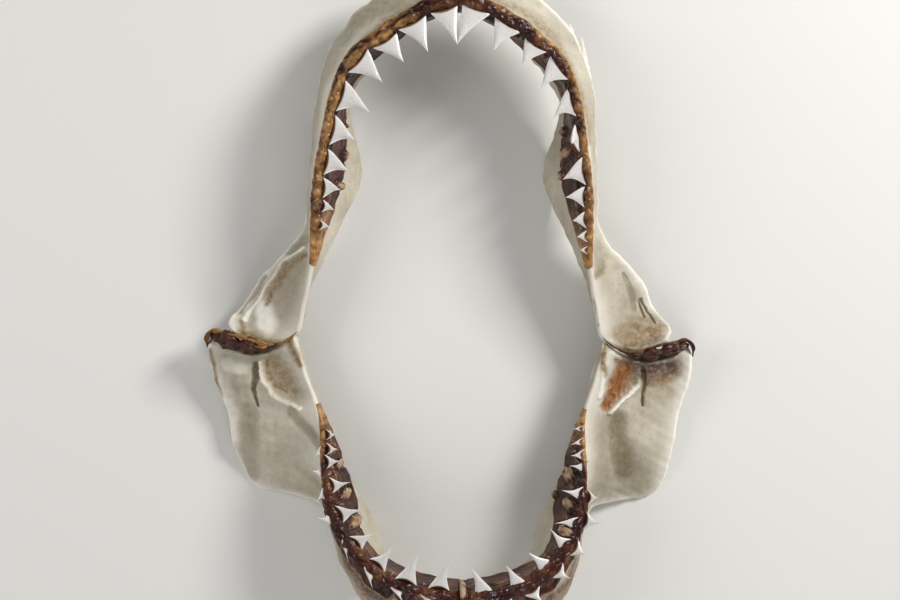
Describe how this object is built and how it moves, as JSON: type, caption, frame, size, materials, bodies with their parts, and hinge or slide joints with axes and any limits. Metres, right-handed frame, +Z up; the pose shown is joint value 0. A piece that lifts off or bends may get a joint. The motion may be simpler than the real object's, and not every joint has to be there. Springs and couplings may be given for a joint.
{
  "type": "shark jaw",
  "caption": "Dried requiem shark jaws, opened wide and lying on their back: upper and lower cartilage halves joined by hinge ligaments, with dark gum bands full of pointed teeth.",
  "frame": {"origin": "centre of the bounding box at the surface that the jaws lie on", "axes": "+Y from the lower to the upper jaw, +X right as one looks down into the mouth, +Z up out of the mouth towards the eye"},
  "size_m": [0.326, 0.4476, 0.0678],
  "materials": {
    "cartilage": "dried calcified cartilage, pale grey-beige with tan stains, satin",
    "gum": "dried dental membrane, dark red-brown with amber lips, glossy; the teeth in it are white enamel",
    "ligament": "dried joint ligament, brown to amber, half gloss",
    "symphysis": "dried fibrous pad between the halves, dull tan"
  },
  "bodies": {
    "root": {"upper_symphysis": "symphysis", "upper_jaw_right": "cartilage", "upper_gum_right": "gum", "upper_jaw_left": "cartilage", "upper_gum_left": "gum", "lower_symphysis": "symphysis", "lower_jaw_right": "cartilage", "lower_gum_right": "gum", "lower_jaw_left": "cartilage", "lower_gum_left": "gum", "hinge_ligament_right": "ligament", "hinge_ligament_left": "ligament"}
  },
  "joints": []
}
